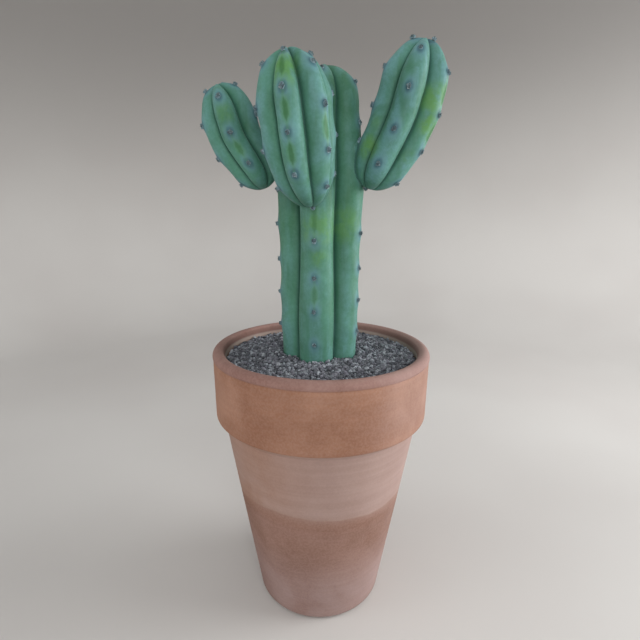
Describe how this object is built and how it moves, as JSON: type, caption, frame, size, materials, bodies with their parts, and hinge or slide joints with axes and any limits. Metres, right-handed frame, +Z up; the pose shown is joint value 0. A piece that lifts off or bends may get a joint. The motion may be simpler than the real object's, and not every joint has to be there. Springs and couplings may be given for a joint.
{
  "type": "potted blue candle cactus",
  "caption": "Blue-green ribbed columnar cactus with upright arms and short spines, in a tall collared terracotta pot dressed with grey grit.",
  "frame": {"origin": "on the pot's axis, on the surface that the pot stands on", "axes": "+Z up along the pot's axis; the viewer in front looks along +Y, with +X to the viewer's right"},
  "size_m": [0.2198, 0.2198, 0.5522],
  "materials": {
    "terracotta": "unglazed fired clay, matt, with a darker damp band and a faint lime bloom",
    "potting_soil": "dark crumbly peat mix",
    "grit": "mixed grey crushed stone",
    "cactus_skin": "waxy blue-green skin with a pale bloom, grey felt areoles and short dark spines"
  },
  "bodies": {
    "root": {"pot": "terracotta", "soil": "potting_soil", "gravel": "grit", "cactus": "cactus_skin"}
  },
  "joints": []
}
